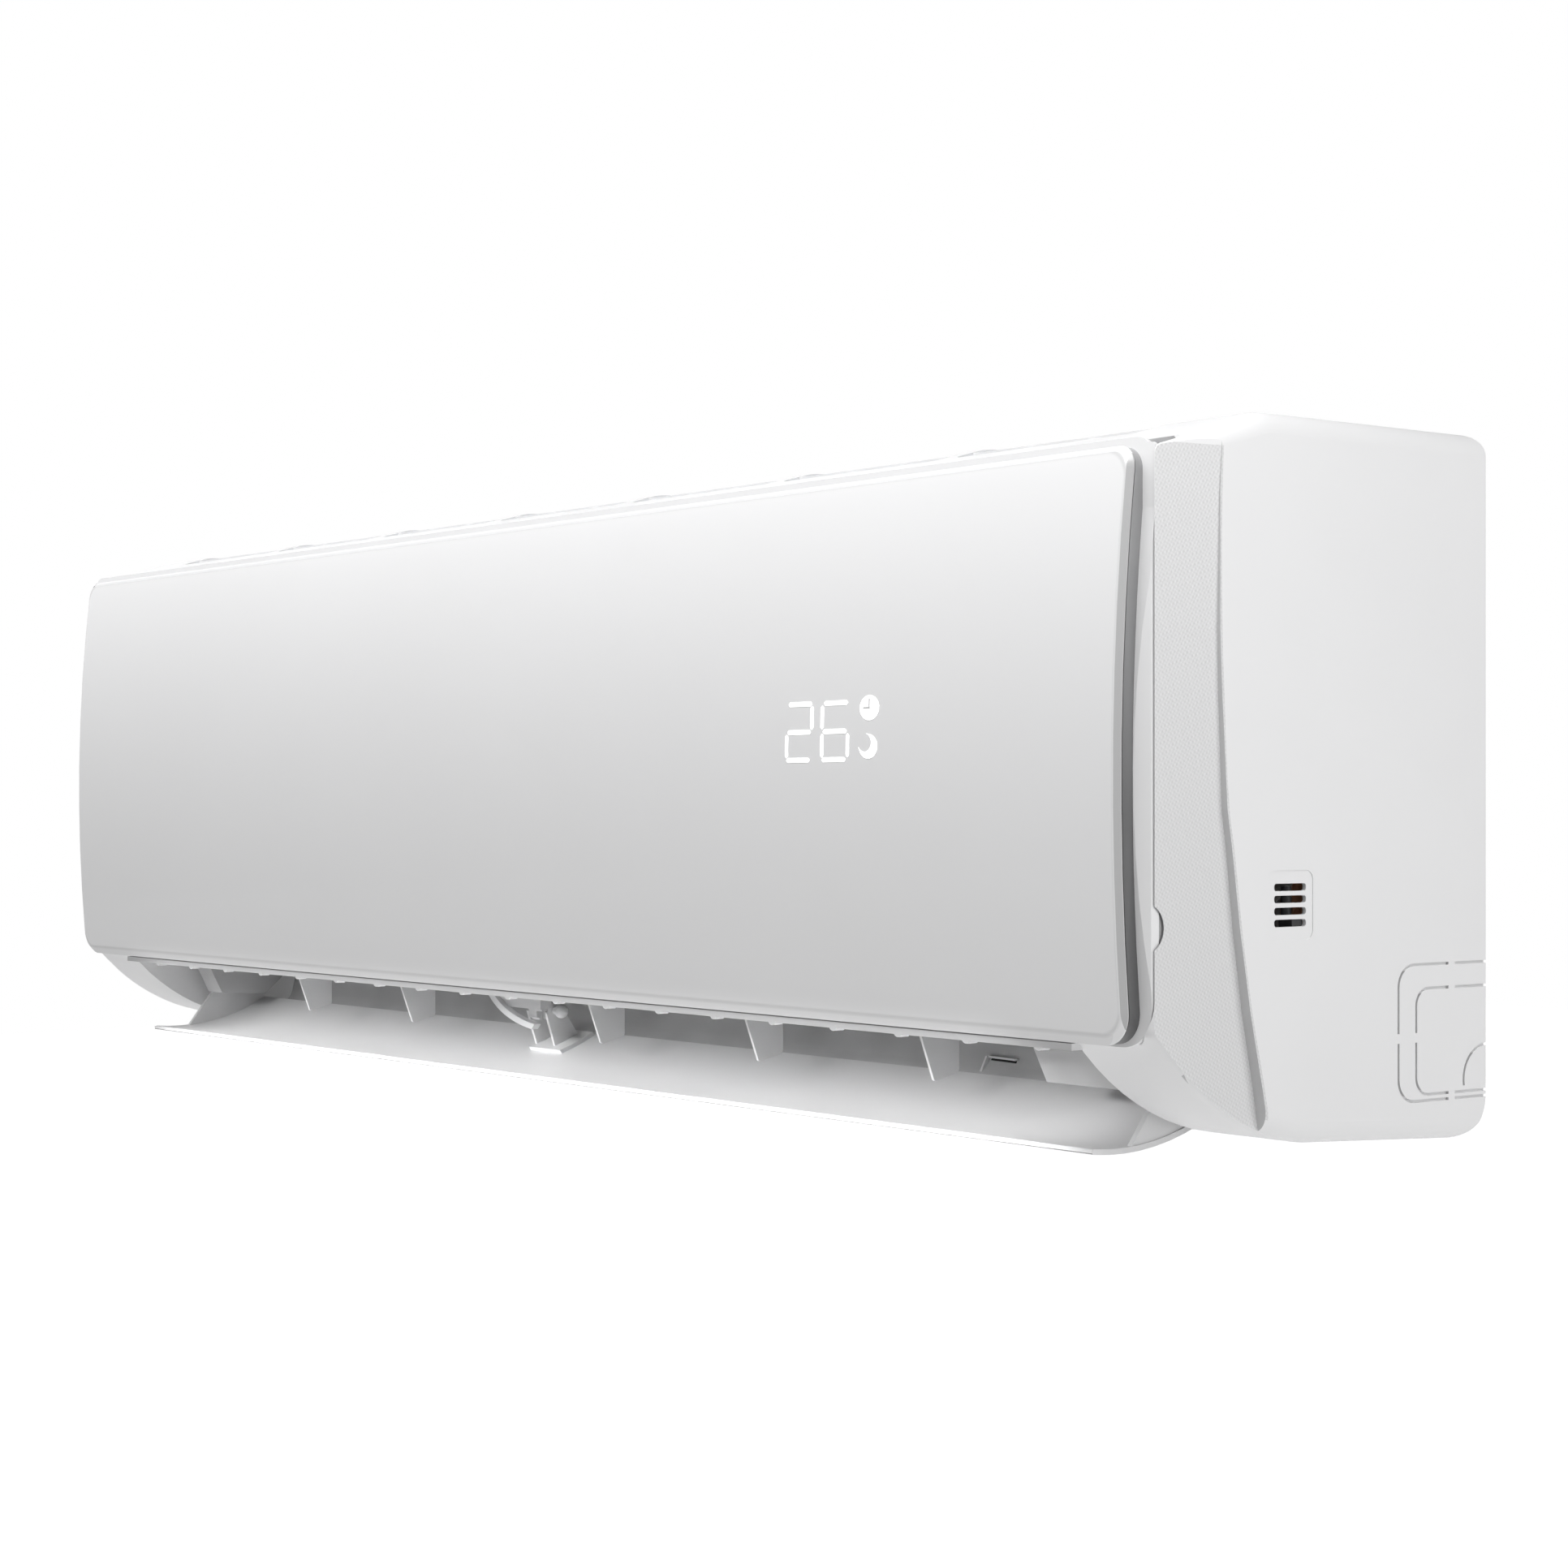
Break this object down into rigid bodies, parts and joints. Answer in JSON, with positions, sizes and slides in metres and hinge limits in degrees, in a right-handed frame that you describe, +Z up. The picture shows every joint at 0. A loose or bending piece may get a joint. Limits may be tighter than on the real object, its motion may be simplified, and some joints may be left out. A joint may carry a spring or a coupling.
{
  "type": "mini split indoor unit",
  "caption": "Wall-hung air conditioner head: bowed lift-up front panel, top intake grille, open outlet with tilting louver and upright vanes, fan, coil and wall plate.",
  "frame": {"origin": "centre of the wall plate on the wall face", "axes": "+X along the unit to the right as seen from the room, +Y into the wall, +Z up"},
  "size_m": [0.97, 0.2049, 0.2996],
  "materials": {
    "casing": "smooth white plastic",
    "panel": "glossy white plastic",
    "panel_frame": "smooth white plastic",
    "trim": "silver-grey plastic",
    "chassis": "plain white plastic",
    "duct_parts": "plain white plastic",
    "louver": "glossy white plastic",
    "tray": "plain white plastic",
    "steel": "galvanised sheet",
    "screws": "zinc plated",
    "shaft_steel": "ground",
    "fan": "black plastic",
    "rubber": "black rubber",
    "dark_plastic": "dark plastic",
    "motor": "moulded resin",
    "stepper": "plated can",
    "fins": "thin pressed fins",
    "copper": "bare copper",
    "brass": "machined",
    "foam": "white closed-cell foam",
    "filter": "fine net",
    "box_plastic": "plain plastic",
    "board": "lacquered board",
    "board_parts": "mixed parts",
    "terminal": "plain plastic",
    "button": "smooth plastic",
    "spring_steel": "drawn wire",
    "display_frame": "plain plastic"
  },
  "bodies": {
    "unit": {"front_casing": "casing", "rear_chassis": "chassis", "duct_end_left": "chassis", "duct_end_right": "chassis", "louver_bracket": "duct_parts", "vane_rail": "duct_parts", "louver_bush": "louver", "drip_tray": "tray", "wall_plate": "steel", "casing_screws": "screws", "motor_screws": "screws", "fan_bearing": "rubber", "motor_rubbers": "rubber", "drain_plug": "rubber", "bearing_holder": "dark_plastic", "motor_clamp": "dark_plastic", "pipe_clamp": "dark_plastic", "room_sensor": "dark_plastic", "fan_motor": "motor", "louver_stepper": "stepper", "fin_pack_lower": "fins", "fin_pack_upper": "fins", "fin_pack_rear": "fins", "return_bends_left": "copper", "return_bends_right": "copper", "liquid_pipe": "copper", "suction_pipe": "copper", "pipe_sensor": "copper", "flare_nuts": "brass", "pipe_sleeve": "foam", "filter_left": "filter", "filter_right": "filter", "control_box": "box_plastic", "control_cover": "box_plastic", "main_board": "board", "board_parts": "board_parts", "terminal_block": "terminal", "button_spring": "spring_steel"},
    "louver": {"louver": "louver", "louver_drive_shaft": "louver"},
    "panel": {"front_panel": "panel", "panel_frame": "panel_frame", "panel_trim": "trim", "panel_latches": "panel_frame", "display_board": "board", "display_housing": "display_frame"},
    "left_vane_1": {"vane_left_1": "duct_parts"},
    "left_vane_2": {"vane_left_2": "duct_parts"},
    "right_vane_1": {"vane_right_1": "duct_parts"},
    "right_vane_2": {"vane_right_2": "duct_parts"},
    "right_vane_3": {"vane_right_3": "duct_parts"},
    "left_link": {"vane_link_left": "duct_parts"},
    "right_link": {"vane_link_right": "duct_parts"},
    "fan": {"fan_wheel": "fan", "fan_axle": "shaft_steel", "fan_set_screw": "screws", "motor_shaft": "shaft_steel"},
    "button": {"emergency_button": "button"}
  },
  "joints": [
    {"name": "louver_tilt", "type": "hinge", "parent": "unit", "child": "louver", "pos_m": [0, -0.119, -0.139], "axis": [1, 0, 0], "range_deg": [-38, 37]},
    {"name": "panel_lift", "type": "hinge", "parent": "unit", "child": "panel", "pos_m": [0, -0.185, 0.111], "axis": [-1, 0, 0], "range_deg": [0, 60]},
    {"name": "left_vane_1_swing", "type": "hinge", "parent": "unit", "child": "left_vane_1", "pos_m": [-0.28499, -0.134, -0.11], "axis": [0, 0, 1], "range_deg": [-35, 35]},
    {"name": "left_vane_2_swing", "type": "hinge", "parent": "unit", "child": "left_vane_2", "pos_m": [-0.165, -0.134, -0.11], "axis": [0, 0, 1], "range_deg": [-35, 35]},
    {"name": "left_link_pivot", "type": "hinge", "parent": "left_vane_1", "child": "left_link", "pos_m": [-0.28499, -0.147, -0.1095], "axis": [0, 0, 1], "range_deg": [-35, 35]},
    {"name": "right_vane_1_swing", "type": "hinge", "parent": "unit", "child": "right_vane_1", "pos_m": [0.02503, -0.134, -0.11], "axis": [0, 0, 1], "range_deg": [-35, 35]},
    {"name": "right_vane_2_swing", "type": "hinge", "parent": "unit", "child": "right_vane_2", "pos_m": [0.15995, -0.134, -0.11], "axis": [0, 0, 1], "range_deg": [-35, 35]},
    {"name": "right_vane_3_swing", "type": "hinge", "parent": "unit", "child": "right_vane_3", "pos_m": [0.29003, -0.134, -0.11], "axis": [0, 0, 1], "range_deg": [-35, 35]},
    {"name": "right_link_pivot", "type": "hinge", "parent": "right_vane_1", "child": "right_link", "pos_m": [0.02503, -0.147, -0.1095], "axis": [0, 0, 1], "range_deg": [-35, 35]},
    {"name": "fan_spin", "type": "hinge", "parent": "unit", "child": "fan", "pos_m": [0, -0.092, -0.032], "axis": [1, 0, 0], "continuous": true},
    {"name": "button_push", "type": "slide", "parent": "unit", "child": "button", "axis": [0, 1, 0], "range_m": [0, 0.0016], "stiffness_N_per_m": 400, "springref_m": -0.002, "deforming": ["button_spring"]}
  ],
  "couplings": [
    {"joint": "left_vane_2_swing", "follows": "left_vane_1_swing", "ratio": 1},
    {"joint": "left_link_pivot", "follows": "left_vane_1_swing", "ratio": -1},
    {"joint": "right_vane_2_swing", "follows": "right_vane_1_swing", "ratio": 1},
    {"joint": "right_vane_3_swing", "follows": "right_vane_1_swing", "ratio": 1},
    {"joint": "right_link_pivot", "follows": "right_vane_1_swing", "ratio": -1}
  ]
}
